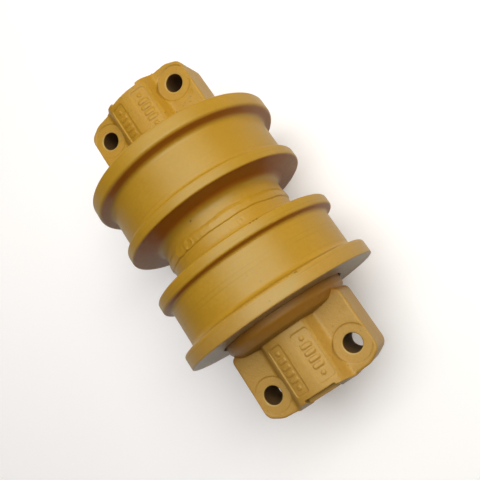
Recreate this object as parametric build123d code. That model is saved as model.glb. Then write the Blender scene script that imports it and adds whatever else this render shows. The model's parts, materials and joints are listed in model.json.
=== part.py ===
from build123d import *
import os

# Double-flange track roller, in millimetres. The shaft lies along Y, +Z is up
# and the collars' mounting faces point down. Each end piece is drawn for the
# far (+Y) end; the near end is its mirror image.

# Driving dimensions
FLANGE_D = 200.0
INNER_FLANGE_D = 191.0
TREAD_D = 176.0
NECK_D = 132.0
SHELL_LENGTH = 184.0
SHAFT_D = 50.0
JOURNAL_D = 55.0
THRUST_D = 68.0
BOLT_SPACING_X = 90.0
BOLT_SPACING_Y = 300.0
BOLT_HOLE_D = 17.5
COLLAR_WIDTH = 124.4
OVERALL_LENGTH = 350.0
MOUNT_Z = -20.0
PLATE_Z = 22.5
CROWN_Z = 40.5

# Clearances
RUNNING = 0.05
GAP = 0.3

# Shell
FLANGE_R = FLANGE_D / 2
INNER_FLANGE_R = INNER_FLANGE_D / 2
TREAD_R = TREAD_D / 2
NECK_R = NECK_D / 2
SHELL_END = SHELL_LENGTH / 2
RIM_START = 78.9
TREAD_END = 71.5
TREAD_START = 37.5
INNER_RIM_START = 24.5
INNER_RIM_END = 32.5
NECK_END = 13.1
EDGE_ROUND = 1.5
FLARE_MID = (2.1, 5.4)
FLARE_END = (7.3, 8.0)
FACE_SLOPE = 0.09
CLIMB_LOW = (0.9, 2.7)
CLIMB_HIGH = (3.3, 4.2)
FLANGE_SLOPE = 0.22
CHAMBER_R = 46.0
CHAMBER_END = 12.8
GROOVE_HALF_WIDTH = 6.3
GROOVE_DEPTH = 8.0
WELD_CROWN = 1.3
SEAM_Y = 2.1
MOUTH_R = 65.5
MOUTH_DEPTH = 10.0
MOUTH_CHAMFER = 1.0

# Bushings
BUSHING_R = 31.5
BUSHING_END = 70.0
BUSHING_FLANGE_R = 38.0
THRUST_HALF_WIDTH = 9.0

# Face seals
SEAL_POCKET_R = 46.0
SEAL_PLANE = 83.05
SEAL_RING_IN_R = 33.0
SEAL_RING_OUT_R = 39.5
SEAL_LIP_R = 44.0
SEAL_LIP = 2.0
SEAL_RING_LENGTH = 8.6
TORIC_R = 3.2
TORIC_RING_R = 42.75
TORIC_OFFSET = 6.4
SEAL_FACE_HALF_GAP = 0.16

# Shaft
SHAFT_R = SHAFT_D / 2
JOURNAL_R = JOURNAL_D / 2
JOURNAL_END = 71.5
SHAFT_END = 174.0
SHAFT_CHAMFER = 1.5
FLAT_START = 108.0
TOP_FLAT_Z = 20.0
OIL_PASSAGE_R = 4.0
OIL_BRANCH_R = 3.0
OIL_BRANCH_Y = 40.0
PLUG_R = 8.0
PLUG_LENGTH = 12.0
PLUG_SOCKET = 8.0
PLUG_SUNK = 0.5
O_RING_Y = 100.0
O_RING_GROOVE = 3.4
O_RING_R = 1.28
O_RING_FLOOR_R = 22.4

# Collars
SPIGOT_R = 63.2
SPIGOT_START = 84.5
SEAL_POCKET_END = 95.0
DOME_SHOULDER = 97.5
DOME_END = 108.5
DOME_TOP_R = 40.0
DOME_BENDS = ((1.8, 3.4), (6.2, 7.2))
PLATE_START = 101.5
COLLAR_END = OVERALL_LENGTH / 2
END_FLAT_HALF = 14.0
END_KNEE = (48.2, 2.4)
END_CORNER = 9.8
KNEE_R = 16.0
CORNER_R = 10.0
PLATE_ROUND = 2.0
BACK_CORNER_R = 6.0
BASE_ROUND = 1.5
HUB_BASE = 29.5
HUB_SHOULDER = 24.2
HUB_SHOULDER_Z = 33.0
HUB_TOP_HALF = 21.5
HUB_TOP_Z = 35.6
HUB_END = 174.0
HUB_DRAFT = 12.0
HUB_ROOT = 2.6
SPOT_R = 18.0
SPOT_DEPTH = 0.7
SPOT_CLEARANCE = 16.0
HOLE_CHAMFER = 1.0
PANEL_DEPTH = 0.9
PANEL_START = 115.3
PANEL_END = 163.6
PANEL_CORNER_R = 3.0
PANEL_A = (5.2, 22.0)
PANEL_B = (-20.6, -6.0)
MARK_BARS = (-9.6, -3.2, 3.2, 9.6)
MARK_DOTS = (-17.0, 17.0)
MARK_WIDTH = 3.4
MARK_SHARE = 1.15
SLOT_HALF = 16.0
SLOT_START = 168.5

# Lock pins and keepers
PIN_R = 5.0
PIN_Y = 128.0
PIN_Z = 12.0
PIN_START_X = -48.0
PIN_END_X = 32.0
PIN_PLUG_R = 7.0
PIN_PLUG_LENGTH = 10.0
PIN_PLUG_SOCKET = 6.0
KEEPER_TOP_Z = 28.5
KEEPER_SIDE_GAP = 0.4
KEEPER_THICKNESS = 4.6
KEEPER_EDGE = 0.8


def polyline_ring(points):
    """Turn a closed outline of (radius, y) corners about the Y axis."""
    corners = [(radius, along) for radius, along in points]
    outline = make_face(Polyline(*corners, close=True))
    return revolve(outline, Axis.Y)


def along_y(radius, start, end):
    """A cylinder about the Y axis between two stations."""
    return cylinder_y(radius, start, end, 0.0, 0.0)


def cylinder_y(radius, start, end, x, z):
    """A cylinder parallel to Y at (x, z)."""
    middle = (start + end) / 2
    return Pos(x, middle, z) * Rot(90, 0, 0) * Cylinder(radius, abs(end - start))


def cylinder_x(radius, start, end, y, z):
    """A cylinder parallel to X at (y, z)."""
    middle = (start + end) / 2
    return Pos(middle, y, z) * Rot(0, 90, 0) * Cylinder(radius, abs(end - start))


def block(x_range, y_range, z_range):
    """A box between three pairs of limits."""
    sizes = [high - low for low, high in (x_range, y_range, z_range)]
    middles = [(high + low) / 2 for low, high in (x_range, y_range, z_range)]
    return Pos(*middles) * Box(*sizes)


def mirrored(solid):
    """The same piece at the near end."""
    return mirror(solid, about=Plane.XZ)


def shell_outline():
    """Outer skin of the shell from its middle to the far mouth."""
    flange_face_r = FLANGE_R - EDGE_ROUND
    inner_face_r = INNER_FLANGE_R - EDGE_ROUND
    neck = Line((NECK_R, 0), (NECK_R, NECK_END))
    flare_mid = (NECK_R + FLARE_MID[0], NECK_END + FLARE_MID[1])
    flare_top = (NECK_R + FLARE_END[0], NECK_END + FLARE_END[1])
    flare = Spline(neck @ 1, flare_mid, flare_top, tangents=[(0, 1), (1, FACE_SLOPE)])
    face = Line(flare @ 1, (inner_face_r, INNER_RIM_START - EDGE_ROUND))
    corner_a = Line(face @ 1, (INNER_FLANGE_R, INNER_RIM_START))
    rim = Line(corner_a @ 1, (INNER_FLANGE_R, INNER_RIM_END))
    corner_b = Line(rim @ 1, (inner_face_r - 0.6, INNER_RIM_END + 1.7))
    root = Spline(
        corner_b @ 1,
        (TREAD_R + 1.6, INNER_RIM_END + 3.0),
        (TREAD_R, TREAD_START),
        tangents=[(-1, 0.25), (0, 1)],
    )
    tread = Line(root @ 1, (TREAD_R, TREAD_END))
    climb = Spline(
        tread @ 1,
        (TREAD_R + CLIMB_LOW[0], TREAD_END + CLIMB_LOW[1]),
        (TREAD_R + CLIMB_HIGH[0], TREAD_END + CLIMB_HIGH[1]),
        (flange_face_r - 0.4, RIM_START - EDGE_ROUND),
        tangents=[(0, 1), (1, FLANGE_SLOPE)],
    )
    corner_c = Spline(climb @ 1, (FLANGE_R, RIM_START), tangents=[(1, FLANGE_SLOPE), (0, 1)])
    outer_rim = Line(corner_c @ 1, (FLANGE_R, SHELL_END - EDGE_ROUND))
    corner_d = Spline(outer_rim @ 1, (flange_face_r, SHELL_END), tangents=[(0, 1), (-1, 0)])
    end_face = Line(corner_d @ 1, (MOUTH_R + MOUTH_CHAMFER, SHELL_END))
    edges = [neck, flare, face, corner_a, rim, corner_b, root]
    edges += [tread, climb, corner_c, outer_rim, corner_d, end_face]
    return edges


def shell_bore(start_point, end_point):
    """Inner skin of the shell, from the mouth back to its middle."""
    mouth_floor = SHELL_END - MOUTH_DEPTH
    corners = [
        start_point,
        (MOUTH_R, SHELL_END - MOUTH_CHAMFER),
        (MOUTH_R, mouth_floor),
        (SEAL_POCKET_R, mouth_floor),
        (SEAL_POCKET_R, BUSHING_END),
        (BUSHING_R, BUSHING_END),
        (BUSHING_R, CHAMBER_END),
        (CHAMBER_R, CHAMBER_END),
        (CHAMBER_R, 0),
        end_point,
    ]
    return [Line(a, b) for a, b in zip(corners, corners[1:])]


def whole_shell():
    """The shell before it is divided at the seam."""
    skin = shell_outline()
    bore = shell_bore(skin[-1] @ 1, skin[0] @ 0)
    outline = make_face(Wire([edge for line in skin + bore for edge in line.edges()]))
    far = revolve(outline, Axis.Y)
    return far + mirrored(far)


def seam_ring(crown):
    """Ring of weld metal in the V groove, its top raised by crown."""
    root = (NECK_R - GROOVE_DEPTH, SEAM_Y)
    far_toe = (NECK_R, SEAM_Y + GROOVE_HALF_WIDTH)
    near_toe = (NECK_R, SEAM_Y - GROOVE_HALF_WIDTH)
    top = ThreePointArc(far_toe, (NECK_R + crown, SEAM_Y), near_toe)
    sides = [Line(root, far_toe), Line(near_toe, root)]
    outline = make_face(Wire([sides[0].edge(), top.edge(), sides[1].edge()]))
    return revolve(outline, Axis.Y)


def shell_half(side):
    """One half of the rotating shell; side is +1 for the far half."""
    reach = FLANGE_R + 5
    span = sorted((SEAM_Y, side * (SHELL_END + 5)))
    part = whole_shell() & block((-reach, reach), span, (-reach, reach))
    return part - seam_ring(WELD_CROWN)


def bushing():
    """Flanged bushing pressed into the shell, running on the journal."""
    bore = JOURNAL_R + RUNNING
    flange_start = THRUST_HALF_WIDTH + GAP
    return polyline_ring([
        (bore, flange_start),
        (BUSHING_FLANGE_R, flange_start),
        (BUSHING_FLANGE_R, CHAMBER_END),
        (BUSHING_R, CHAMBER_END),
        (BUSHING_R, BUSHING_END),
        (bore, BUSHING_END),
    ])


def seal_ring(side):
    """Metal face-seal ring; side is -1 for the shell's and +1 for the collar's."""
    face = SEAL_PLANE + side * SEAL_FACE_HALF_GAP
    lip_back = face + side * SEAL_LIP
    back = face + side * SEAL_RING_LENGTH
    return polyline_ring([
        (SEAL_RING_IN_R, face),
        (SEAL_LIP_R, face),
        (SEAL_LIP_R, lip_back),
        (SEAL_RING_OUT_R, lip_back),
        (SEAL_RING_OUT_R, back),
        (SEAL_RING_IN_R, back),
    ])


def seal_toric(side):
    """Rubber ring that loads a seal ring."""
    station = SEAL_PLANE + side * TORIC_OFFSET
    return Pos(0, station, 0) * Rot(90, 0, 0) * Torus(TORIC_RING_R, TORIC_R)


def shaft_body():
    """Stepped shaft with its thrust collar, seal grooves and end chamfers."""
    groove_start = O_RING_Y - O_RING_GROOVE / 2
    groove_end = O_RING_Y + O_RING_GROOVE / 2
    half = [
        (THRUST_D / 2, THRUST_HALF_WIDTH),
        (JOURNAL_R, THRUST_HALF_WIDTH),
        (JOURNAL_R, JOURNAL_END),
        (SHAFT_R, JOURNAL_END),
        (SHAFT_R, groove_start),
        (O_RING_FLOOR_R, groove_start),
        (O_RING_FLOOR_R, groove_end),
        (SHAFT_R, groove_end),
        (SHAFT_R, SHAFT_END - SHAFT_CHAMFER),
        (SHAFT_R - SHAFT_CHAMFER, SHAFT_END),
        (0, SHAFT_END),
    ]
    other = [(radius, -station) for radius, station in reversed(half)]
    return polyline_ring(half + other)


def shaft():
    """The fixed shaft."""
    body = shaft_body()
    wide = (-SHAFT_R - 1, SHAFT_R + 1)
    below = (-SHAFT_R - 1, MOUNT_Z)
    above = (TOP_FLAT_Z, SHAFT_R + 1)
    for side in (-1, 1):
        mount_flat = sorted((side * FLAT_START, side * (SHAFT_END + 1)))
        end_flat = sorted((side * SLOT_START, side * (SHAFT_END + 1)))
        body -= block(wide, mount_flat, below)
        body -= block(wide, end_flat, above)
        body -= cylinder_x(PIN_R, -SHAFT_R - 1, SHAFT_R + 1, side * PIN_Y, PIN_Z)
        branch = Pos(0, side * OIL_BRANCH_Y, JOURNAL_R / 2) * Cylinder(OIL_BRANCH_R, JOURNAL_R + 2)
        body -= branch
    body -= along_y(OIL_PASSAGE_R, -SHAFT_END - 1, OIL_BRANCH_Y + OIL_PASSAGE_R)
    body -= along_y(PLUG_R, -SHAFT_END - 1, -SHAFT_END + PLUG_LENGTH)
    return body


def hex_prism(across_flats, depth):
    """A hexagonal cutter standing on the XY plane."""
    return extrude(RegularPolygon(across_flats / 2, 6, major_radius=False), depth)


def oil_plug():
    """Socket plug flush with the near end of the shaft."""
    face = PLUG_SUNK - SHAFT_END
    plug = along_y(PLUG_R, face, PLUG_LENGTH - SHAFT_END)
    socket = Pos(0, face, 0) * Rot(-90, 0, 0) * hex_prism(PLUG_SOCKET, PLUG_LENGTH / 2)
    return plug - socket


def o_ring():
    """Round-section ring in the shaft's groove."""
    ring_r = (SHAFT_R + O_RING_FLOOR_R) / 2
    return Pos(0, O_RING_Y, 0) * Rot(90, 0, 0) * Torus(ring_r, O_RING_R)


def plate_outline():
    """Plan of the mounting block, with a bowed outer end."""
    half = COLLAR_WIDTH / 2
    right = [
        (half, COLLAR_END - END_CORNER),
        (END_KNEE[0], COLLAR_END - END_KNEE[1]),
        (END_FLAT_HALF, COLLAR_END),
    ]
    left = [(-x, y) for x, y in reversed(right)]
    plan = make_face(Polyline((half, PLATE_START), *right, *left, (-half, PLATE_START), close=True))
    corners = plan.vertices().filter_by(lambda v: abs(abs(v.X) - half) < 1 and v.Y > PLATE_START + 1)
    plan = fillet(corners, CORNER_R)
    knees = plan.vertices().filter_by(lambda v: abs(abs(v.X) - END_KNEE[0]) < 1)
    plan = fillet(knees, KNEE_R)
    backs = plan.vertices().filter_by(lambda v: v.Y < PLATE_START + 1)
    return fillet(backs, BACK_CORNER_R)


def mounting_block():
    """Solid block with the mounting face, rounded along its top edge."""
    solid = extrude(Pos(0, 0, MOUNT_Z) * plate_outline(), PLATE_Z - MOUNT_Z)
    top = solid.faces().sort_by(Axis.Z)[-1]
    rounded = [edge for edge in top.edges() if edge.center().Y > PLATE_START + 1]
    solid = fillet(rounded, PLATE_ROUND)
    bottom = solid.faces().sort_by(Axis.Z)[0]
    lower = [edge for edge in bottom.edges() if edge.center().Y > PLATE_START + 1]
    return chamfer(lower, BASE_ROUND)


def hub_profile(drop):
    """Section of the raised hub in X and Z, lowered by drop."""
    base_z = MOUNT_Z + 10
    top = ThreePointArc(
        (-HUB_TOP_HALF, HUB_TOP_Z - drop),
        (0, CROWN_Z - drop),
        (HUB_TOP_HALF, HUB_TOP_Z - drop),
    )
    half = [
        (HUB_TOP_HALF, HUB_TOP_Z - drop),
        (HUB_SHOULDER, HUB_SHOULDER_Z - drop),
        (HUB_BASE - HUB_ROOT / 3, PLATE_Z + HUB_ROOT - drop),
        (HUB_BASE + HUB_ROOT / 4, PLATE_Z + HUB_ROOT / 3 - drop),
        (HUB_BASE + HUB_ROOT, PLATE_Z - drop),
        (HUB_BASE + HUB_ROOT, base_z),
    ]
    other = [(-x, z) for x, z in reversed(half)]
    return make_face(Wire([top.edge()] + list(Polyline(*half, *other).edges())))


def hub_prism(drop, start, end):
    """The hub's section drawn out along the shaft."""
    face = Plane(origin=(0, start, 0), x_dir=(1, 0, 0), z_dir=(0, -1, 0)) * hub_profile(drop)
    return extrude(face, amount=end - start, dir=(0, 1, 0))


def hub():
    """Raised hub over the shaft, with a leaning outer end."""
    solid = hub_prism(0.0, PLATE_START, COLLAR_END)
    beyond = Pos(0, COLLAR_WIDTH / 2, 0) * Box(COLLAR_WIDTH, COLLAR_WIDTH, COLLAR_WIDTH)
    return solid - Pos(0, HUB_END, PLATE_Z) * Rot(HUB_DRAFT, 0, 0) * beyond


def dome():
    """Round seal rim of the collar, running out into the block."""
    shoulder = (SPIGOT_R, DOME_SHOULDER)
    neck = (DOME_TOP_R, DOME_END)
    bends = [(SPIGOT_R - inward, DOME_SHOULDER + along) for inward, along in DOME_BENDS]
    outer = Spline(shoulder, *bends, neck, tangents=[(0, 1), (-1, 0.16)])
    corners = [
        neck,
        (SHAFT_R, DOME_END),
        (SHAFT_R, SEAL_POCKET_END),
        (SEAL_POCKET_R, SEAL_POCKET_END),
        (SEAL_POCKET_R, SPIGOT_START),
        (SPIGOT_R - 1, SPIGOT_START),
        (SPIGOT_R, SPIGOT_START + 1),
        shoulder,
    ]
    edges = [Line(a, b).edge() for a, b in zip(corners, corners[1:])]
    return revolve(make_face(Wire([outer.edge()] + edges)), Axis.Y)


def panel_prism(limits):
    """Upright prism over one framed panel."""
    width = limits[1] - limits[0]
    length = PANEL_END - PANEL_START
    centre = ((limits[0] + limits[1]) / 2, (PANEL_START + PANEL_END) / 2)
    sketch = Pos(*centre, HUB_BASE / 2) * RectangleRounded(width, length, PANEL_CORNER_R)
    return extrude(sketch, CROWN_Z)


def panel_marks(limits):
    """Plain raised bars and dots that fill a panel."""
    x = (limits[0] + limits[1]) / 2
    half = (limits[1] - limits[0]) / 2
    centre_y = (PANEL_START + PANEL_END) / 2
    marks = []
    for step in MARK_BARS:
        bar = RectangleRounded(half * MARK_SHARE, MARK_WIDTH, MARK_WIDTH / 2.2)
        marks.append(extrude(Pos(x, centre_y + step, HUB_BASE / 2) * bar, CROWN_Z))
    for step in MARK_DOTS:
        dot = Circle(MARK_WIDTH / 2)
        marks.append(extrude(Pos(x, centre_y + step, HUB_BASE / 2) * dot, CROWN_Z))
    return marks


def panel_cut(limits):
    """Material removed to sink one panel below the crown, marks left proud."""
    cut = panel_prism(limits) - hub_prism(PANEL_DEPTH, PLATE_START, COLLAR_END)
    for mark in panel_marks(limits):
        cut -= mark
    return cut


def bolt_hole(x):
    """Through hole with its spot face and rim chamfer."""
    y = BOLT_SPACING_Y / 2
    floor_z = PLATE_Z - SPOT_DEPTH
    rim_r = BOLT_HOLE_D / 2
    hole = Pos(x, y, 0) * Cylinder(rim_r, COLLAR_WIDTH)
    spot = Pos(x, y, floor_z + SPOT_CLEARANCE / 2) * Cylinder(SPOT_R, SPOT_CLEARANCE)
    rim = Pos(x, y, floor_z - HOLE_CHAMFER / 2) * Cone(rim_r, rim_r + HOLE_CHAMFER, HOLE_CHAMFER)
    return [hole, spot, rim]


def collar():
    """Cast end collar of the far end."""
    body = mounting_block() + hub() + dome()
    body -= along_y(SHAFT_R, SEAL_POCKET_END - 1, COLLAR_END + 1)
    for limits in (PANEL_A, PANEL_B):
        body -= panel_cut(limits)
    for x in (-BOLT_SPACING_X / 2, BOLT_SPACING_X / 2):
        for cutter in bolt_hole(x):
            body -= cutter
    body -= block((-SLOT_HALF, SLOT_HALF), (SLOT_START, COLLAR_END + 5), (TOP_FLAT_Z, CROWN_Z + 5))
    body -= cylinder_x(PIN_R, PIN_START_X - 1, PIN_END_X, PIN_Y, PIN_Z)
    body -= cylinder_x(PIN_PLUG_R, -COLLAR_WIDTH, PIN_START_X, PIN_Y, PIN_Z)
    return body


def lock_pin():
    """Cross pin through collar and shaft."""
    return cylinder_x(PIN_R, PIN_START_X, PIN_END_X - 1, PIN_Y, PIN_Z)


def lock_pin_plug():
    """Socket plug behind the lock pin."""
    outer = PIN_START_X - PIN_PLUG_LENGTH
    plug = cylinder_x(PIN_PLUG_R, outer, PIN_START_X, PIN_Y, PIN_Z)
    socket = Pos(outer, PIN_Y, PIN_Z) * Rot(0, 90, 0) * hex_prism(PIN_PLUG_SOCKET, PIN_PLUG_LENGTH / 2)
    return plug - socket


def end_keeper():
    """Bar in the collar's end slot that stops the shaft's top flat turning."""
    reach = SLOT_HALF - KEEPER_SIDE_GAP
    start = SLOT_START + KEEPER_SIDE_GAP
    bar = block((-reach, reach), (start, start + KEEPER_THICKNESS), (TOP_FLAT_Z, KEEPER_TOP_Z))
    edges = bar.edges().filter_by(Axis.X).group_by(Axis.Z)[-1]
    return fillet(edges, KEEPER_EDGE)


def pieces():
    """Every node of the roller by name."""
    paired = {
        "bushing": bushing(),
        "seal_ring_rotating": seal_ring(-1),
        "seal_toric_rotating": seal_toric(-1),
        "collar": collar(),
        "seal_ring_static": seal_ring(1),
        "seal_toric_static": seal_toric(1),
        "shaft_o_ring": o_ring(),
        "lock_pin": lock_pin(),
        "lock_pin_plug": lock_pin_plug(),
        "end_keeper": end_keeper(),
    }
    nodes = {
        "shell_half_far": shell_half(1),
        "shell_half_near": shell_half(-1),
        "weld_seam": seam_ring(WELD_CROWN),
        "shaft": shaft(),
        "oil_plug": oil_plug(),
    }
    for name, solid in paired.items():
        nodes[name + "_far"] = solid
        nodes[name + "_near"] = mirrored(solid)
    return nodes


os.makedirs("parts", exist_ok=True)
for node, solid in pieces().items():
    export_step(solid, "parts/" + node + ".step")
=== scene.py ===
import json
import math

import bmesh
import bpy
import numpy as np
from mathutils import Matrix, Vector, noise


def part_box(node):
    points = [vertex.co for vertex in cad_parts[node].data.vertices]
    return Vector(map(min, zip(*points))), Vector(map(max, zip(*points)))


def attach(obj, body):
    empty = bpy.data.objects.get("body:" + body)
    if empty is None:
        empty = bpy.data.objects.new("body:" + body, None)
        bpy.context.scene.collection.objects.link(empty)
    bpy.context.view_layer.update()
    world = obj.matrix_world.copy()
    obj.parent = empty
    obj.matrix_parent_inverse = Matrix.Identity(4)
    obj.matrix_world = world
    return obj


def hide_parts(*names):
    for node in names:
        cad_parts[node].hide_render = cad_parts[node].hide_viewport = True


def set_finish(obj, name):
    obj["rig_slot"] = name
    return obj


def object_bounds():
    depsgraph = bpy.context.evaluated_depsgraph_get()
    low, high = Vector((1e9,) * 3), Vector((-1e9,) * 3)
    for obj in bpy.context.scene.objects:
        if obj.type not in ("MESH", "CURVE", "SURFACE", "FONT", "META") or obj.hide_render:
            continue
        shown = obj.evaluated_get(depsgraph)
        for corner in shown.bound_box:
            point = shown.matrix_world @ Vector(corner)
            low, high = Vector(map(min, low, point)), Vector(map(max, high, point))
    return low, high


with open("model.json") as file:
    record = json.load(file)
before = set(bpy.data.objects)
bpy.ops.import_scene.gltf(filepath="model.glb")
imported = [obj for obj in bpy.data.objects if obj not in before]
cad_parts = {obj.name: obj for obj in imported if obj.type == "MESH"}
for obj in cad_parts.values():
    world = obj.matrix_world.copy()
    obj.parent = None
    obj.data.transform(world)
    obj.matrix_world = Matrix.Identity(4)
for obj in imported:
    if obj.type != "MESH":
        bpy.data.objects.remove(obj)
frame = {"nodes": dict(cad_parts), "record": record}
cad_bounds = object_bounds()

NODES = frame["nodes"]
SIDES = {"near": -1, "far": 1}
MM = 0.001
TURN = 2 * math.pi
TINY = 1e-9

# Camera: a 45 mm lens above the near end, in the CAD frame, in metres
CAMERA_AT = (0.1813, -0.1391, 0.5416)
CAMERA_FORWARD = (-0.3026, 0.2203, -0.9273)
CAMERA_UP = (0.5854, 0.8107, 0.0016)
LENS_MM = 44.96
SENSOR_MM = 36.0
FARTHEST_SEEN = 20.0

# Soft boxes: (name, place, size, watts, colour, whether it leaves a reflection)
SOFT_BOXES = (
    ("key", (0.5, 0.20, 1.60), (2.1, 1.0), 35.0, (0.92, 1.0, 0.97), True),
    ("back", (0.5, 0.80, 1.45), (2.1, 0.6), 5.5, (0.92, 1.0, 0.97), True),
    ("fill", (1.5, 0.3, 0.45), (0.9, 0.9), 7.0, (1.0, 0.95, 0.6), False),
    ("rear", (-0.8, 1.8, 0.5), (0.9, 0.9), 5.0, (1.0, 0.98, 0.92), False),
)

# Studio: the even light, the wall in view, and the floor. The glow grows with distance.
EVEN_LIGHT = (0.035, 0.0105, 0.0035)
WALL = (0.80, 0.78, 0.77)
FLOOR_REACH = 6.0
FLOOR_TONES = ((0.975, 0.90, 0.92), (0.985, 0.91, 0.93))
FLOOR_CLOUDS = (0.5, 2.0)
FLOOR_IN_GLOSS = (1.0, 0.96, 0.93)
FLOOR_BOUNCE = (0.22, 0.20, 0.15)
FLOOR_ROUGH = 0.9
GLOW_COLOUR = (1.0, 0.98, 0.98, 1.0)
GLOW_RANGE = (0.7, 2.4, 0.10, 0.72)

# Shell, in metres. Rows are (radius, y, rounding) of the far half.
SHELL_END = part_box("shell_half_far")[1].y
FLANGE_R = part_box("shell_half_far")[1].x
SEAM_Y = 2.1 * MM
NECK_R = 66.0 * MM
TREAD_R = 88.0 * MM
INNER_FLANGE_R = 95.5 * MM
CHAMBER_R = 46.0 * MM
CHAMBER_END = 12.8 * MM
BUSHING_R = 31.5 * MM
BUSHING_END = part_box("bushing_far")[1].y
MOUTH_R = 65.5 * MM
MOUTH_FLOOR = SHELL_END - 10 * MM
SKIN = (
    (NECK_R, 20.4 * MM, 8.0 * MM),
    (INNER_FLANGE_R, 23.1 * MM, 1.8 * MM),
    (INNER_FLANGE_R, 33.5 * MM, 1.9 * MM),
    (TREAD_R, 35.3 * MM, 2.5 * MM),
    (TREAD_R, 75.0 * MM, 4.2 * MM),
    (FLANGE_R, 77.6 * MM, 2.7 * MM),
    (FLANGE_R, SHELL_END, 1.4 * MM),
    (MOUTH_R, SHELL_END, 1.0 * MM),
)
BORE = (
    (MOUTH_R, MOUTH_FLOOR, 0.8 * MM),
    (CHAMBER_R, MOUTH_FLOOR, 0.8 * MM),
    (CHAMBER_R, BUSHING_END, 0.5 * MM),
    (BUSHING_R, BUSHING_END, 0.5 * MM),
    (BUSHING_R, CHAMBER_END, 0.5 * MM),
    (CHAMBER_R, CHAMBER_END, 0.5 * MM),
)
SKIN_STEP = 1.0 * MM
BORE_STEP = 6.0 * MM
ROUNDING_POINTS = 6
SHELL_STEPS = 440

# Unevenness of the forged skin: (feature size mm, depth mm). The treads are turned, so more even.
FORGED_GRAIN = ((16, 0.10), (5, 0.035))
TURNED_FROM = INNER_FLANGE_R * 0.9
TURNED_SOFT = 4 * MM
TURNED_EVENNESS = 0.8

# Marks cut into the near half. Pits are (radius, degrees from the top, y mm, size mm, depth mm)
# and turning lines (y mm, from degrees, to degrees).
STAMP = (NECK_R, 30.7, -10.6 * MM)
STAMP_R = 2.4 * MM
STAMP_WIDTH = 0.55 * MM
STAMP_DEPTH = 0.30 * MM
PITS = (
    (NECK_R, 20.6, -11.0, 0.8, 0.45),
    (NECK_R, 12.8, -10.9, 0.6, 0.25),
    (TREAD_R, 17.8, -68.1, 0.8, 0.2),
    (FLANGE_R, 33.8, -77.7, 1.6, 0.6),
)
TURNING_LINES = ((-59.8, -6, 41), (-54.6, 0, 42))
LINE_WIDTH = 0.5 * MM
LINE_DEPTH = 0.09 * MM
LINE_FADE = 8

# Colour marks of the shell: a rub between two (degrees from the top, y) ends,
# and grime as (radius, degrees from the top, y mm, size mm, strength).
RUB_START = (32.1, -82.2 * MM)
RUB_END = (22.4, -89.6 * MM)
RUB_SHARES = (0.0, 0.25, 0.5, 0.75, 1.0)
RUB_SIZE = 4.5 * MM
RUB_STRENGTH = 0.22
RUBBED = (0.36, 0.24, 0.055)
GRIMY = (0.14, 0.06, 0.006)
GRIME = (
    (FLANGE_R, 33.8, -78.2, 1.7, 0.8),
    (FLANGE_R, 16.3, -86.9, 1.2, 0.3),
    (TREAD_R, 17.8, -68.1, 1.2, 0.25),
    (TREAD_R, 13.5, -57.8, 1.0, 0.2),
    (NECK_R, -1.9, 15.0, 1.2, 1.0),
    (INNER_FLANGE_R, 29.5, -23.6, 1.3, 1.0),
    (INNER_FLANGE_R, 31.5, -23.6, 1.2, 1.0),
    (INNER_FLANGE_R, 33.5, -23.6, 1.2, 1.0),
)

# Weld bead, in metres. BEAD shares run from its near toe (0) to its far toe (1).
WELD_STEPS = 720
WELD_ROWS = 27
NEAR_TOE = -4.6 * MM
FAR_TOE = 7.4 * MM
TOE_RAGGED = 0.75 * MM
NEAR_SEED = 3.0
FAR_SEED = 7.0
BEAD_CROWN = 1.35 * MM
BEAD_FALL = 0.12
BEAD_TOP = 0.3
BEAD_NEAR_SIDE = 0.16
BEAD_FAR_SIDE = 0.45
BEAD_EDGE = 0.08
BEAD_TUCK = 0.15 * MM
BEAD_SINK = 1.6 * MM

# Unevenness of the weld: (feature size mm, depth mm), and of its toes: (feature size mm, share)
WELD_GRAIN = ((4, 0.18), (11, 0.30))
TOE_GRAIN = ((13, 1.2), (4, 0.5))

# Lobes of the weld: (degrees from the top, y mm, half length mm, half width mm)
LOBES = ((-14.5, 0.6, 5.2, 4.6), (-24.0, 1.6, 8.6, 5.8))
LOBE_RIDGE = 0.32 * MM
LOBE_RIDGE_WIDTH = 0.17
LOBE_DISH = 0.42 * MM
LOBE_DISH_WIDTH = 0.75

# Collars. Grain is (feature size, depth).
BOLT_X = 45 * MM
BOLT_Y = 150 * MM
BOLT_R = 8.75 * MM
CAST_VOXEL = 0.5 * MM
CAST_SMOOTHING = 5
CAST_SMOOTHING_SHARE = 0.5
CAST_FACES = 180000
CAST_GRAIN = ((1.1 * MM, 0.035 * MM), (3.2 * MM, 0.06 * MM), (14.0 * MM, 0.12 * MM))

# Paint: its colours, the tints that multiply them, and its specular level and tint
GOLD = (0.435, 0.2195, 0.0149)
CAST_GOLD = (0.455, 0.221, 0.0146)
# Pale dust and painted sheen on the near end
DUST_AND_SHEEN = (0.45, 0.25, 0.08)
# Painted shade: a redder, darker brown on the collar's dome
DOME_SHADE = (0.43, 0.165, 0.014)
# Painted shade on the shell's sides turned to the near end
SHADED_SIDE_PAINT = (0.45, 0.13, 0.0105)
# Bare end faces: misted paint, and partly painted reflection
BARE_END_AND_REFLECTION = (0.43, 0.29, 0.165)
# Pale rims round the bolt holes: wear and painted highlight
RUBBED_RIM_AND_HIGHLIGHT = (0.58, 0.40, 0.15)
# Painted shade inside the bolt holes
BORE_SHADE = (0.12, 0.050, 0.008)
DARKER = (0.95, 0.94, 0.90)
PALER = (1.02, 1.03, 1.10)
MOTTLE_TINT = (0.86, 0.86, 0.86)
SPECK_TINT = (0.55, 0.55, 0.55)
STREAK_TINT = (0.72, 0.72, 0.72)
# Painted shade in the castings' hollows
HOLLOW_SHADE_TINT = (0.30, 0.22, 0.2)
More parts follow.
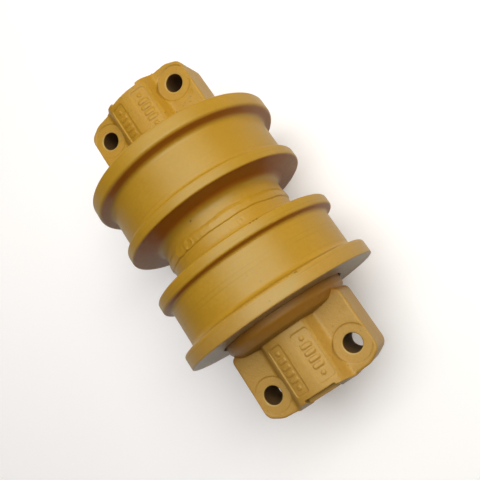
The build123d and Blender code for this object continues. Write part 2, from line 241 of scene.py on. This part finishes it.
# Painted highlight on the castings' sharp edges
EDGE_HIGHLIGHT_TINT = (1.2, 1.25, 1.5)
EDGE_HIGHLIGHT_LIFT = 0.03
SHEEN = 0.45
SHEEN_TINT = (0.75, 1.0, 0.9, 1.0)

# Noises of the paint: (feature size, detail, roughness)
CLOUDS = (42 * MM, 3.0)
MOTTLE = (3.5 * MM, 4.0, 0.65)
SPECKS = (1.0 * MM, 2.0)
CAST_SPECKS = (2.0 * MM, 2.0)
GRAIN_DETAIL = (5.0, 0.6)
SMUDGE_DETAIL = 3.0
LINES_DETAIL = 2.0
LINES_SIZE = 0.8 * MM
STREAK_SIZE = 2.4 * MM

# Ranges of the paint: (from low, from high, to low, to high), or the first two of these
NOISE_SPAN = (0.3, 0.7)
CLOUD_RANGE = (0.35, 0.65, 0.0, 1.0)
MOTTLE_RANGE = (0.35, 0.65, 0.6, 0.0)
SPECK_SPAN = (0.26, 0.38)
STREAK_RANGE = (0.60, 0.68, 0.0, 0.36)
STREAK_BREAKS = (0.42, 0.58, 0.15, 1.0)
# Where the pale dust and painted sheen start towards the near end
DUST_AND_SHEEN_FROM = -74 * MM
DUST_AND_SHEEN_RANGE = (DUST_AND_SHEEN_FROM, DUST_AND_SHEEN_FROM - 8 * MM, 0.0, 0.5)
DUST_AND_SHEEN_UNEVEN = (0.3, 0.7, 0.5, 0.9)
# Painted shade on the sides turned to the near end
SHADED_SIDE_RANGE = (-0.70, -0.96, 0.0, 0.8)
# Bare end faces, partly painted reflection
BARE_AND_REFLECTION_RANGE = (SHELL_END - 0.3 * MM, SHELL_END - 0.05 * MM, 0.0, 0.85)
# Painted shade on the collar's dome
DOME_END = 104 * MM
DOME_SHADE_RANGE = (DOME_END + 3 * MM, DOME_END, 0.0, 0.8)
# Pale rims round the bolt holes, worn and painted highlight
RIM_AND_HIGHLIGHT_RANGE = (BOLT_R + 0.5 * MM, BOLT_R + 1.8 * MM, 0.5, 0.0)
# Painted shade inside the bolt holes, which are also made rough
BORE_RANGE = (BOLT_R + 0.2 * MM, BOLT_R + 0.45 * MM, 1.0, 0.0)
# Painted shade in hollows
HOLLOW_SHADE_SPAN = (0.44, 0.495)
# Painted highlight on sharp edges
EDGE_HIGHLIGHT_RANGE = (0.53, 0.62, 0.0, 0.15)

# Roughness: how far it wanders, what bare ends take off, and the least inside a bore
SMOOTHER = 0.05
ROUGHER = 0.08
METAL_ROUGHER = 0.1
BARE_SMOOTHER = 0.06
BORE_ROUGH = 0.95

# A smudge, as shares of its size
SMUDGE_GRAIN = 0.6
SMUDGE_WANDER = 0.45
SMUDGE_CORE = 0.45

# Factors that turn Y round, and that leave Z out
MIRROR_Y = (1.0, -1.0, 1.0)
FLATTEN_Z = (1.0, 1.0, 0.0)

# Metal and rubber
METAL_CLOUDS = (12 * MM, 4.0)
METAL_TINT = (0.8, 0.8, 0.8)
RUBBER_CLOUDS = (6 * MM, 3.0)
RUBBER_TONES = ((0.012, 0.012, 0.013), (0.024, 0.024, 0.024))
RUBBER_ROUGH = (0.3, 0.7, 0.55, 0.7)
RUBBER_GRAIN = (0.4 * MM, 2.0)
RUBBER_GRAIN_DEPTH = 0.02 * MM


def node_tree(name):
    """A material with a Principled shader; returns it with its tree and shader."""
    material = bpy.data.materials.new(name)
    material.use_nodes = True
    tree = material.node_tree
    return material, tree, tree.nodes["Principled BSDF"]


def add(tree, kind, values=None, **settings):
    """A shader node with its settings and input values."""
    made = tree.nodes.new("ShaderNode" + kind)
    for key, value in settings.items():
        setattr(made, key, value)
    for key, value in (values or {}).items():
        made.inputs[key].default_value = value
    return made


def place_camera():
    """The scene's camera, looking along CAMERA_FORWARD."""
    data = bpy.data.cameras.new("camera")
    data.lens = LENS_MM
    data.sensor_width = SENSOR_MM
    data.clip_end = FARTHEST_SEEN
    camera = bpy.data.objects.new("camera", data)
    back = -Vector(CAMERA_FORWARD).normalized()
    right = Vector(CAMERA_UP).cross(back).normalized()
    up = back.cross(right)
    turn = Matrix((right, up, back)).transposed()
    camera.matrix_world = Matrix.Translation(CAMERA_AT) @ turn.to_4x4()
    bpy.context.scene.collection.objects.link(camera)
    bpy.context.scene.camera = camera


def soft_box(name, place, size, power, colour, shines):
    """A soft box facing the roller; its first side lies square to the shaft."""
    data = bpy.data.lights.new(name, "AREA")
    data.shape = "RECTANGLE"
    data.size, data.size_y = size
    data.energy = power
    data.color = colour
    back = Vector(place).normalized()
    side = Vector((0, 1, 0)).cross(back).normalized()
    turn = Matrix((side, back.cross(side), back)).transposed()
    light = bpy.data.objects.new(name, data)
    light.matrix_world = Matrix.Translation(place) @ turn.to_4x4()
    light.visible_glossy = shines
    bpy.context.scene.collection.objects.link(light)


def set_world(light, wall):
    """Even light from all round, and the pale studio wall that is seen."""
    world = bpy.data.worlds.new("studio")
    world.use_nodes = True
    tree = world.node_tree
    in_view = add(tree, "LightPath").outputs["Is Camera Ray"]
    tree.links.new(mixed(tree, in_view, light, wall), tree.nodes["Background"].inputs["Color"])
    bpy.context.scene.world = world


# Meshes


def new_piece(name, mesh, body, slot):
    """An object for the mesh, riding on a CAD body."""
    piece = bpy.data.objects.new(name, mesh)
    bpy.context.scene.collection.objects.link(piece)
    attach(piece, body)
    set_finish(piece, slot)
    return piece


def towards(start, goal, distance):
    """The point that lies a distance from start on the way to goal."""
    way = goal - start
    return start + way * (distance / np.linalg.norm(way))


def run_between(start, end, step):
    """Points from start up to, but without, end."""
    count = max(1, round(float(np.linalg.norm(end - start)) / step))
    return [start + (end - start) * k / count for k in range(count)]


def softened(corners, step):
    """Points along (radius, y, rounding) corners, each rounded off."""
    spots = [np.array(corner[:2]) for corner in corners]
    points = []
    start = spots[0]
    for k in range(1, len(corners) - 1):
        rounding = corners[k][2]
        before = towards(spots[k], spots[k - 1], rounding)
        after = towards(spots[k], spots[k + 1], rounding)
        points += run_between(start, before, step)
        for t in np.linspace(0, 1, ROUNDING_POINTS)[:-1]:
            points.append(before * (1 - t) ** 2 + spots[k] * 2 * t * (1 - t) + after * t**2)
        start = after
    points += run_between(start, spots[-1], step)
    points.append(spots[-1])
    return np.array(points)


def outline_normals(outline):
    """Outward direction at each point of a closed (radius, y) outline."""
    along = np.roll(outline, -1, axis=0) - np.roll(outline, 1, axis=0)
    along /= np.maximum(np.linalg.norm(along, axis=1, keepdims=True), TINY)
    return np.stack([along[:, 1], -along[:, 0]], axis=1)


def ring_angles(steps):
    """Evenly spaced angles round the shaft from the top, between minus and plus half a turn."""
    angle = np.arange(steps) * TURN / steps
    return np.where(angle > math.pi, angle - TURN, angle)


def ring_mesh(name, radius, y):
    """A closed ring about the shaft from grids of radius and y, one column per angle."""
    rows, steps = radius.shape
    angle = np.arange(steps) * TURN / steps
    points = np.stack([radius * np.sin(angle), y, radius * np.cos(angle)], axis=2)
    row, step = np.meshgrid(np.arange(rows), np.arange(steps), indexing="ij")
    next_row = (row + 1) % rows
    next_step = (step + 1) % steps
    corners = [(row, step), (next_row, step), (next_row, next_step), (row, next_step)]
    faces = np.stack([r * steps + s for r, s in corners], axis=2).reshape(-1, 4)
    mesh = bpy.data.meshes.new(name)
    mesh.from_pydata(points.reshape(-1, 3).tolist(), [], faces.tolist())
    return tidied(mesh)


def tidied(mesh):
    """The mesh with its faces turned outwards and shaded smooth."""
    work = bmesh.new()
    work.from_mesh(mesh)
    bmesh.ops.recalc_face_normals(work, faces=work.faces)
    work.to_mesh(mesh)
    work.free()
    mesh.shade_smooth()
    return mesh


def noise_field(points, size):
    """Smooth noise from -1 to 1 at each point, with features of that size."""
    scaled = points.reshape(-1, 3) / size
    values = [noise.noise(Vector(point)) for point in scaled]
    return np.array(values).reshape(points.shape[:-1])


def on_ring(radius, y, angle):
    """Points on the surface of revolution."""
    return np.stack([radius * np.sin(angle), y + 0 * angle, radius * np.cos(angle)], axis=-1)


def spot_on(radius, degrees, y):
    """One point at an angle from the top."""
    return on_ring(np.array(radius), np.array(y), np.array(math.radians(degrees)))


def dent(points, centre, size):
    """1 at the centre, falling to 0 over that size."""
    away = np.linalg.norm(points - centre, axis=-1)
    return np.exp(-((away / size) ** 2))


def ring_dent(points, centre, radius, width):
    """1 on a small circle round the centre."""
    away = np.linalg.norm(points - centre, axis=-1)
    return np.exp(-(((away - radius) / width) ** 2))


def between(values, low, high, soft):
    """1 between two limits, falling to 0 over a soft edge."""
    rise = np.clip((values - low) / soft, 0, 1)
    fall = np.clip((high - values) / soft, 0, 1)
    return rise * fall


def forged_lift(points, radius):
    """Slight unevenness of the forged skin, most of which is turned off the treads."""
    turned = np.clip((radius - TURNED_FROM) / TURNED_SOFT, 0, 1)
    uneven = 0
    for size, depth in FORGED_GRAIN:
        uneven = uneven + noise_field(points, size * MM) * depth * MM
    return uneven * (1 - TURNED_EVENNESS * turned)


def near_marks(points, angle, y):
    """Stamp, pits, nick and turning lines of the near half."""
    lift = np.zeros(points.shape[:-1])
    lift -= STAMP_DEPTH * ring_dent(points, spot_on(*STAMP), STAMP_R, STAMP_WIDTH)
    for radius, degrees, place, size, depth in PITS:
        lift -= depth * MM * dent(points, spot_on(radius, degrees, place * MM), size * MM)
    for place, low, high in TURNING_LINES:
        line = np.exp(-(((y - place * MM) / LINE_WIDTH) ** 2))
        lift -= LINE_DEPTH * line * between(np.degrees(angle), low, high, LINE_FADE)
    return lift


def shell_half(side_name):
    """One half of the shell as a finely divided ring."""
    side = SIDES[side_name]
    seam = SEAM_Y * side
    skin = softened(((NECK_R, seam, 0.0),) + SKIN + ((MOUTH_R, MOUTH_FLOOR, 0.0),), SKIN_STEP)
    bore = softened(BORE + ((CHAMBER_R, seam, 0.0),), BORE_STEP)
    outline = np.concatenate([skin[:-1], bore])
    outward = outline_normals(outline)
    angle = ring_angles(SHELL_STEPS)[None, :]
    radius = outline[:, :1] + 0 * angle
    y = outline[:, 1:] * side + 0 * angle
    points = on_ring(radius, y, angle)
    lift = forged_lift(points, radius)
    if side_name == "near":
        lift = lift + near_marks(points, angle, y)
    visible = np.zeros(len(outline))
    visible[: len(skin) - 1] = 1
    lift = lift * visible[:, None]
    radius = np.minimum(radius + outward[:, :1] * lift, FLANGE_R)
    y = y + outward[:, 1:] * lift * side
    y = np.clip(y, -SHELL_END, SHELL_END)
    mesh = ring_mesh("shell_half_" + side_name + "_skin", radius, y)
    piece = new_piece("shell_half_" + side_name + "_skin", mesh, "roller", "shell_paint")
    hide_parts("shell_half_" + side_name)
    return piece


def eased(share):
    """Rises smoothly from 0 to 1."""
    share = np.clip(share, 0, 1)
    return share * share * (3 - 2 * share)


def bead_height(share):
    """Height of the weld over the neck, from its near toe (0) to its far toe (1)."""
    crown = 1 - BEAD_FALL * np.abs(share - BEAD_TOP) / BEAD_TOP
    return BEAD_CROWN * crown * eased(share / BEAD_NEAR_SIDE) * eased((1 - share) / BEAD_FAR_SIDE)


def lobe_lift(angle, y):
    """The overlapping lobes where the weld stopped: a ridge round a shallow dish."""
    lift = 0 * y
    for degrees, place, half_long, half_wide in LOBES:
        along = (angle - math.radians(degrees)) * NECK_R / (half_long * MM)
        across = (y - place * MM) / (half_wide * MM)
        away = np.sqrt(along**2 + across**2)
        lift = lift + LOBE_RIDGE * np.exp(-(((away - 1) / LOBE_RIDGE_WIDTH) ** 2))
        lift = lift - LOBE_DISH * np.exp(-((away / LOBE_DISH_WIDTH) ** 4))
    return lift


def ragged(angle, seed):
    """Ragged but closed wander round the ring, about -1 to 1."""
    ring = [np.sin(angle) * NECK_R, np.cos(angle) * NECK_R, 0 * angle + seed]
    circle = np.stack(ring, axis=-1)
    wander = 0
    for size, share in TOE_GRAIN:
        wander = wander + noise_field(circle, size * MM) * share
    return wander


def weld_bead():
    """The irregular weld round the middle of the neck, with its foot sunk in the neck."""
    angle = ring_angles(WELD_STEPS)
    near = NEAR_TOE + TOE_RAGGED * ragged(angle, NEAR_SEED)
    far = FAR_TOE + TOE_RAGGED * ragged(angle, FAR_SEED)
    share = np.linspace(0, 1, WELD_ROWS)[:, None]
    y = near + (far - near) * share
    points = on_ring(NECK_R + 0 * y, y, angle[None, :])
    height = bead_height(share) + lobe_lift(angle[None, :], y)
    for size, depth in WELD_GRAIN:
        height = height + noise_field(points, size * MM) * depth * MM
    edge = np.clip(np.minimum(share, 1 - share) / BEAD_EDGE, 0, 1)
    height = height * edge - BEAD_TUCK
    foot = np.full((1, WELD_STEPS), NECK_R - BEAD_SINK)
    radius = np.concatenate([NECK_R + height, foot, foot])
    y = np.concatenate([y, y[-1:], y[:1]])
    mesh = ring_mesh("weld_bead", radius, y)
    piece = new_piece("weld_bead", mesh, "roller", "weld_paint")
    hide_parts("weld_seam")
    return piece


def evaluated_mesh(piece, name):
    """The piece's mesh with its modifiers carried out."""
    graph = bpy.context.evaluated_depsgraph_get()
    mesh = bpy.data.meshes.new_from_object(piece.evaluated_get(graph))
    mesh.name = name
    return mesh


def cast_piece(node, name, body, slot):
    """A CAD node again with the soft edges and uneven skin of a sand casting."""
    work = bpy.data.objects.new(name + "_work", NODES[node].data.copy())
    bpy.context.scene.collection.objects.link(work)
    remesh = work.modifiers.new("remesh", "REMESH")
    remesh.mode = "VOXEL"
    remesh.voxel_size = CAST_VOXEL
    smooth = work.modifiers.new("smooth", "SMOOTH")
    smooth.factor = CAST_SMOOTHING_SHARE
    smooth.iterations = CAST_SMOOTHING
    mesh = evaluated_mesh(work, name)
    bpy.data.objects.remove(work)
    piece = new_piece(name, mesh, body, slot)
    thinned(piece, CAST_FACES)
    roughen(piece.data)
    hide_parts(node)
    return piece


def thinned(piece, most):
    """Leaves the piece, which is all quads, no more than that many triangles."""
    triangles = 2 * len(piece.data.polygons)
    if triangles > most:
        thin = piece.modifiers.new("thin", "DECIMATE")
        thin.ratio = most / triangles
        mesh = evaluated_mesh(piece, piece.name)
        piece.modifiers.clear()
        piece.data = mesh


def roughen(mesh):
    """Moves each point along its normal by a little noise."""
    count = len(mesh.vertices)
    points = np.zeros(count * 3)
    mesh.vertices.foreach_get("co", points)
    points = points.reshape(-1, 3)
    normals = np.array([vertex.normal[:] for vertex in mesh.vertices])
    lift = np.zeros(count)
    for size, depth in CAST_GRAIN:
        lift += depth * noise_field(points, size)
    points = points + normals * lift[:, None]
    mesh.vertices.foreach_set("co", points.ravel())
    mesh.update()
    mesh.shade_smooth()


# Materials


def tinted(colour, tint):
    """The colour with each channel multiplied."""
    return tuple(c * k for c, k in zip(colour, tint))


def object_coordinates(tree):
    """The CAD frame's coordinates, which turn with the piece."""
    return add(tree, "TexCoord").outputs["Object"]


def noise_node(tree, source, size, detail, roughness=0.5):
    """Noise with features of that size, read at source."""
    made = add(tree, "TexNoise", {"Scale": 1 / size, "Detail": detail, "Roughness": roughness})
    tree.links.new(source, made.inputs["Vector"])
    return made.outputs["Fac"]


def ranged(tree, source, low, high, to_low, to_high):
    """The source's values from low..high carried over to another range."""
    values = {"From Min": low, "From Max": high, "To Min": to_low, "To Max": to_high}
    made = add(tree, "MapRange", values)
    tree.links.new(source, made.inputs["Value"])
    return made.outputs["Result"]


def mixed(tree, share, first, second):
    """Two colours mixed; each is a socket or a plain colour."""
    made = add(tree, "Mix", data_type="RGBA")
    tree.links.new(share, made.inputs["Factor"])
    for name, colour in (("A", first), ("B", second)):
        socket = [s for s in made.inputs if s.name == name and s.type == "RGBA"][0]
        if isinstance(colour, tuple):
            socket.default_value = (*colour, 1.0)
        else:
            tree.links.new(colour, socket)
    return [s for s in made.outputs if s.type == "RGBA"][0]


def math_node(tree, operation, first, second=0.0):
    """One step of arithmetic on two sockets or numbers."""
    made = add(tree, "Math", operation=operation)
    for k, value in enumerate((first, second)):
        if isinstance(value, (int, float)):
            made.inputs[k].default_value = value
        else:
            tree.links.new(value, made.inputs[k])
    return made.outputs["Value"]


def vector_node(tree, operation, source, second=(0.0, 0.0, 0.0)):
    """One step of vector arithmetic on a socket and a plain vector."""
    made = add(tree, "VectorMath", {1: second}, operation=operation)
    tree.links.new(source, made.inputs[0])
    return made


def split(tree, source):
    """The X, Y and Z of a vector."""
    parts = add(tree, "SeparateXYZ")
    tree.links.new(source, parts.inputs["Vector"])
    return parts.outputs


def turned_lines(tree, source, size):
    """Fine rings left by turning: noise that changes only along the outline."""
    parts = split(tree, source)
    square_x = math_node(tree, "MULTIPLY", parts["X"], parts["X"])
    square_z = math_node(tree, "MULTIPLY", parts["Z"], parts["Z"])
    radius = math_node(tree, "SQRT", math_node(tree, "ADD", square_x, square_z))
    place = math_node(tree, "SUBTRACT", radius, parts["Y"])
    values = {"Scale": 1 / size, "Detail": LINES_DETAIL}
    made = add(tree, "TexNoise", values, noise_dimensions="1D")
    tree.links.new(place, made.inputs["W"])
    return made.outputs["Fac"]


def streaked(tree, source, clouds, base, colour):
    """The paint with thin broken dark rings, which don't follow the rings of the bumps."""
    flipped = vector_node(tree, "MULTIPLY", source, MIRROR_Y).outputs["Vector"]
    rings = ranged(tree, turned_lines(tree, flipped, STREAK_SIZE), *STREAK_RANGE)
    broken = math_node(tree, "MULTIPLY", rings, ranged(tree, clouds, *STREAK_BREAKS))
    return mixed(tree, broken, base, tinted(colour, STREAK_TINT))


def bumped(tree, shader, layers):
    """Chains bumps of (height socket, depth) onto the shader's normal."""
    normal = None
    for height, depth in layers:
        made = add(tree, "Bump", {"Strength": 1.0, "Distance": depth})
        tree.links.new(height, made.inputs["Height"])
        if normal is not None:
            tree.links.new(normal, made.inputs["Normal"])
        normal = made.outputs["Normal"]
    tree.links.new(normal, shader.inputs["Normal"])


def dusted_and_sheened(tree, source, mottle, base):
    """The paint with a film of pale dust and painted sheen on the near end's rim and collar."""
    share = ranged(tree, split(tree, source)["Y"], *DUST_AND_SHEEN_RANGE)
    uneven = ranged(tree, mottle, *DUST_AND_SHEEN_UNEVEN)
    return mixed(tree, math_node(tree, "MULTIPLY", share, uneven), base, DUST_AND_SHEEN)


def folded_coordinates(tree, source):
    """The coordinates without their signs, so that both ends and both sides are alike."""
    return vector_node(tree, "ABSOLUTE", source).outputs["Vector"]


def distance_from_middle(tree, source):
    """How far along the shaft a point is from the roller's middle, either way."""
    return split(tree, folded_coordinates(tree, source))["Y"]


def with_shaded_side(tree, base):
    """Painted shade: the paint browner and darker on the sides turned to the near end."""
    facing = split(tree, add(tree, "TexCoord").outputs["Normal"])["Y"]
    return mixed(tree, ranged(tree, facing, *SHADED_SIDE_RANGE), base, SHADED_SIDE_PAINT)


def with_bare_reflecting_ends(tree, source, base, roughness):
    """The shell's turned end faces, smoother and only misted with paint; their grey is partly
    painted reflection.
    """
    bare_and_reflected = ranged(tree, distance_from_middle(tree, source), *BARE_AND_REFLECTION_RANGE)
    taken_off = math_node(tree, "MULTIPLY", bare_and_reflected, BARE_SMOOTHER)
    smooth = math_node(tree, "SUBTRACT", roughness, taken_off)
    return mixed(tree, bare_and_reflected, base, BARE_END_AND_REFLECTION), smooth


def bolt_distance(tree, source):
    """How far a point is from the axis of the nearest bolt hole."""
    folded = folded_coordinates(tree, source)
    away = vector_node(tree, "SUBTRACT", folded, (BOLT_X, BOLT_Y, 0.0)).outputs["Vector"]
    flat = vector_node(tree, "MULTIPLY", away, FLATTEN_Z).outputs["Vector"]
    return vector_node(tree, "LENGTH", flat).outputs["Value"]


def with_bores(tree, source, base, roughness):
    """Painted shade on the casting's dome, painted shade inside the bolt holes, and their pale rims,
    worn and partly painted highlight.
    """
    dome_shade = ranged(tree, distance_from_middle(tree, source), *DOME_SHADE_RANGE)
    base = mixed(tree, dome_shade, base, DOME_SHADE)
    distance = bolt_distance(tree, source)
    base = mixed(tree, ranged(tree, distance, *RIM_AND_HIGHLIGHT_RANGE), base, RUBBED_RIM_AND_HIGHLIGHT)
    bore = ranged(tree, distance, *BORE_RANGE)
    least = math_node(tree, "MULTIPLY", bore, BORE_ROUGH)
    return mixed(tree, bore, base, BORE_SHADE), math_node(tree, "MAXIMUM", roughness, least)


def smudged(tree, source, base, place, size, strength, colour):
    """The colour with one soft ragged spot."""
    away = vector_node(tree, "DISTANCE", source, place).outputs["Value"]
    rough_edge = noise_node(tree, source, size * SMUDGE_GRAIN, SMUDGE_DETAIL)
    wander = SMUDGE_WANDER * size
    wandered = ranged(tree, rough_edge, *NOISE_SPAN, -wander, wander)
    distance = math_node(tree, "ADD", away, wandered)
    share = ranged(tree, distance, size * SMUDGE_CORE, size, strength, 0.0)
    return mixed(tree, share, base, colour)


def shell_smudges():
    """Rubbed and dirty spots of the shell: (place, size, strength, colour)."""
    spots = []
    for share in RUB_SHARES:
        degrees = RUB_START[0] + (RUB_END[0] - RUB_START[0]) * share
        y = RUB_START[1] + (RUB_END[1] - RUB_START[1]) * share
        spots.append((tuple(spot_on(FLANGE_R, degrees, y)), RUB_SIZE, RUB_STRENGTH, RUBBED))
    for radius, degrees, y, size, strength in GRIME:
        spots.append((tuple(spot_on(radius, degrees, y * MM)), size * MM, strength, GRIMY))
    return spots


def toned(tree, clouds, mottle, specks, colour, specky):
    """The paint's cloudy and mottled tone with small dark specks."""
    cloud_share = ranged(tree, clouds, *CLOUD_RANGE)
    base = mixed(tree, cloud_share, tinted(colour, DARKER), tinted(colour, PALER))
    mottle_share = ranged(tree, mottle, *MOTTLE_RANGE)
    base = mixed(tree, mottle_share, base, tinted(colour, MOTTLE_TINT))
    speck_share = ranged(tree, specks, *SPECK_SPAN, specky, 0.0)
    return mixed(tree, speck_share, base, tinted(colour, SPECK_TINT))


def shell_wear_and_painted_light(tree, source, clouds, colour, base, roughness, spots):
    """The shell's streaks, painted shade on the sides turned to the near end, bare ends with partly
    painted reflection, and smudges.
    """
    base = streaked(tree, source, clouds, base, colour)
    base = with_shaded_side(tree, base)
    base, roughness = with_bare_reflecting_ends(tree, source, base, roughness)
    for spot in spots:
        base = smudged(tree, source, base, *spot)
    return base, roughness


def casting_wear_and_painted_light(tree, source, colour, base, roughness, hollow_shade):
    """The casting's painted shade in hollows, painted highlights on edges, and its dome and bolt
    holes.
    """
    sharpness = add(tree, "NewGeometry").outputs["Pointiness"]
    hollow_shade_share = ranged(tree, sharpness, *HOLLOW_SHADE_SPAN, hollow_shade, 0.0)
    base = mixed(tree, hollow_shade_share, base, tinted(colour, HOLLOW_SHADE_TINT))
    edge_highlight_colour = tuple(c + EDGE_HIGHLIGHT_LIFT for c in tinted(colour, EDGE_HIGHLIGHT_TINT))
    base = mixed(tree, ranged(tree, sharpness, *EDGE_HIGHLIGHT_RANGE), base, edge_highlight_colour)
    return with_bores(tree, source, base, roughness)


def paint(name, colour, rough, grain, grain_depth, lines_depth=0.0, hollow_shade=0.0, specky=0.25, spots=()):
    """Satin golden paint with fine grain; spots are for the shell, and painted shade in hollows for
    the castings.
    """
    material, tree, shader = node_tree(name)
    source = object_coordinates(tree)
    clouds = noise_node(tree, source, *CLOUDS)
    mottle = noise_node(tree, source, *MOTTLE)
    specks = noise_node(tree, source, *(CAST_SPECKS if hollow_shade else SPECKS))
    base = toned(tree, clouds, mottle, specks, colour, specky)
    base = dusted_and_sheened(tree, source, mottle, base)
    roughness = ranged(tree, mottle, *NOISE_SPAN, rough - SMOOTHER, rough + ROUGHER)
    if spots:
        base, roughness = shell_wear_and_painted_light(tree, source, clouds, colour, base, roughness, spots)
    if hollow_shade:
        base, roughness = casting_wear_and_painted_light(tree, source, colour, base, roughness, hollow_shade)
    tree.links.new(base, shader.inputs["Base Color"])
    shader.inputs["Specular IOR Level"].default_value = SHEEN
    shader.inputs["Specular Tint"].default_value = SHEEN_TINT
    tree.links.new(roughness, shader.inputs["Roughness"])
    layers = [(noise_node(tree, source, grain, *GRAIN_DETAIL), grain_depth)]
    if lines_depth:
        layers.append((turned_lines(tree, source, LINES_SIZE), lines_depth))
    bumped(tree, shader, layers)
    return material


def metal(name, colour, rough, lines_size, lines_depth):
    """Bare metal with a faintly uneven tone and fine turning lines."""
    material, tree, shader = node_tree(name)
    source = object_coordinates(tree)
    clouds = noise_node(tree, source, *METAL_CLOUDS)
    base = mixed(tree, clouds, tinted(colour, METAL_TINT), colour)
    tree.links.new(base, shader.inputs["Base Color"])
    shader.inputs["Metallic"].default_value = 1.0
    roughness = ranged(tree, clouds, *NOISE_SPAN, rough - SMOOTHER, rough + METAL_ROUGHER)
    tree.links.new(roughness, shader.inputs["Roughness"])
    bumped(tree, shader, [(turned_lines(tree, source, lines_size), lines_depth)])
    return material


def rubber(name):
    """Black moulded rubber."""
    material, tree, shader = node_tree(name)
    source = object_coordinates(tree)
    clouds = noise_node(tree, source, *RUBBER_CLOUDS)
    tree.links.new(mixed(tree, clouds, *RUBBER_TONES), shader.inputs["Base Color"])
    tree.links.new(ranged(tree, clouds, *RUBBER_ROUGH), shader.inputs["Roughness"])
    bumped(tree, shader, [(noise_node(tree, source, *RUBBER_GRAIN), RUBBER_GRAIN_DEPTH)])
    return material


def shell_paint(name):
    """The shell's paint, over faint turning lines."""
    return paint(
        name,
        GOLD,
        rough=0.43,
        grain=1.2 * MM,
        grain_depth=0.05 * MM,
        lines_depth=0.045 * MM,
        spots=shell_smudges(),
    )


def collar_paint(name):
    """The paint of the coarse cast collars."""
    return paint(
        name,
        CAST_GOLD,
        rough=0.46,
        grain=1.8 * MM,
        grain_depth=0.36 * MM,
        # Strength of the painted shade in the hollows
        hollow_shade=0.7,
        specky=0.9,
    )


def weld_paint(name):
    """The shell's paint over the weld's grain."""
    return paint(name, GOLD, rough=0.40, grain=1.4 * MM, grain_depth=0.12 * MM)


def keeper_paint(name):
    """The collars' paint on smoother plate."""
    return paint(name, CAST_GOLD, rough=0.44, grain=0.7 * MM, grain_depth=0.04 * MM)


# Metal slots of the record: (colour, roughness, size of the turning lines, their depth)
METALS = {
    "bushing_bronze": ((0.60, 0.36, 0.16), 0.30, 0.5 * MM, 0.01 * MM),
    "seal_iron": ((0.34, 0.34, 0.35), 0.22, 0.5 * MM, 0.006 * MM),
    "shaft_steel": ((0.33, 0.325, 0.32), 0.34, 0.6 * MM, 0.01 * MM),
    "pin_steel": ((0.36, 0.36, 0.37), 0.34, 0.5 * MM, 0.01 * MM),
    "plug_steel": ((0.20, 0.19, 0.18), 0.42, 0.5 * MM, 0.015 * MM),
}

# The record's other slots, each with the function that makes it
OTHER_SLOTS = {
    "shell_paint": shell_paint,
    "weld_paint": weld_paint,
    "collar_paint": collar_paint,
    "keeper_paint": keeper_paint,
    "seal_rubber": rubber,
}


def make_materials():
    """One material per slot of the record."""
    made = {slot: make(slot) for slot, make in OTHER_SLOTS.items()}
    for slot, values in METALS.items():
        made[slot] = metal(slot, *values)
    return made


def node_slots():
    """The record's material slot of each CAD node."""
    return {entry["node"]: entry["material_slot"] for entry in frame["record"]["subparts"]}


def floor_white():
    """The floor's white, which tints its reflection and bounce and glows in the camera's view."""
    material, tree, shader = node_tree("floor_white")
    clouds = noise_node(tree, object_coordinates(tree), *FLOOR_CLOUDS)
    pale = mixed(tree, clouds, *FLOOR_TONES)
    ray = add(tree, "LightPath").outputs
    seen = mixed(tree, ray["Is Glossy Ray"], pale, FLOOR_IN_GLOSS)
    seen = mixed(tree, ray["Is Diffuse Ray"], seen, FLOOR_BOUNCE)
    tree.links.new(seen, shader.inputs["Base Color"])
    shader.inputs["Emission Color"].default_value = GLOW_COLOUR
    away = vector_node(tree, "LENGTH", object_coordinates(tree)).outputs["Value"]
    glow = math_node(tree, "MULTIPLY", ray["Is Camera Ray"], ranged(tree, away, *GLOW_RANGE))
    tree.links.new(glow, shader.inputs["Emission Strength"])
    shader.inputs["Roughness"].default_value = FLOOR_ROUGH
    return material


def floor():
    """Pale studio floor under the flanges."""
    lowest = cad_bounds[0][2]
    signs = ((-1, -1), (1, -1), (1, 1), (-1, 1))
    corners = [(x * FLOOR_REACH, y * FLOOR_REACH, lowest) for x, y in signs]
    mesh = bpy.data.meshes.new("floor")
    mesh.from_pydata(corners, [], [(0, 1, 2, 3)])
    piece = bpy.data.objects.new("floor", mesh)
    bpy.context.scene.collection.objects.link(piece)
    mesh.materials.append(floor_white())


place_camera()
materials = make_materials()
pieces = [shell_half("near"), shell_half("far"), weld_bead()]
for side in SIDES:
    node = "collar_" + side
    pieces.append(cast_piece(node, node + "_cast", "shaft_assembly", "collar_paint"))
for piece in pieces:
    piece.data.materials.clear()
    piece.data.materials.append(materials[piece["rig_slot"]])

for name, slot in node_slots().items():
    for material_slot in NODES[name].material_slots:
        material_slot.material = materials[slot]

for box in SOFT_BOXES:
    soft_box(*box)
set_world(EVEN_LIGHT, WALL)
floor()
bpy.context.scene.view_settings.view_transform = "Standard"
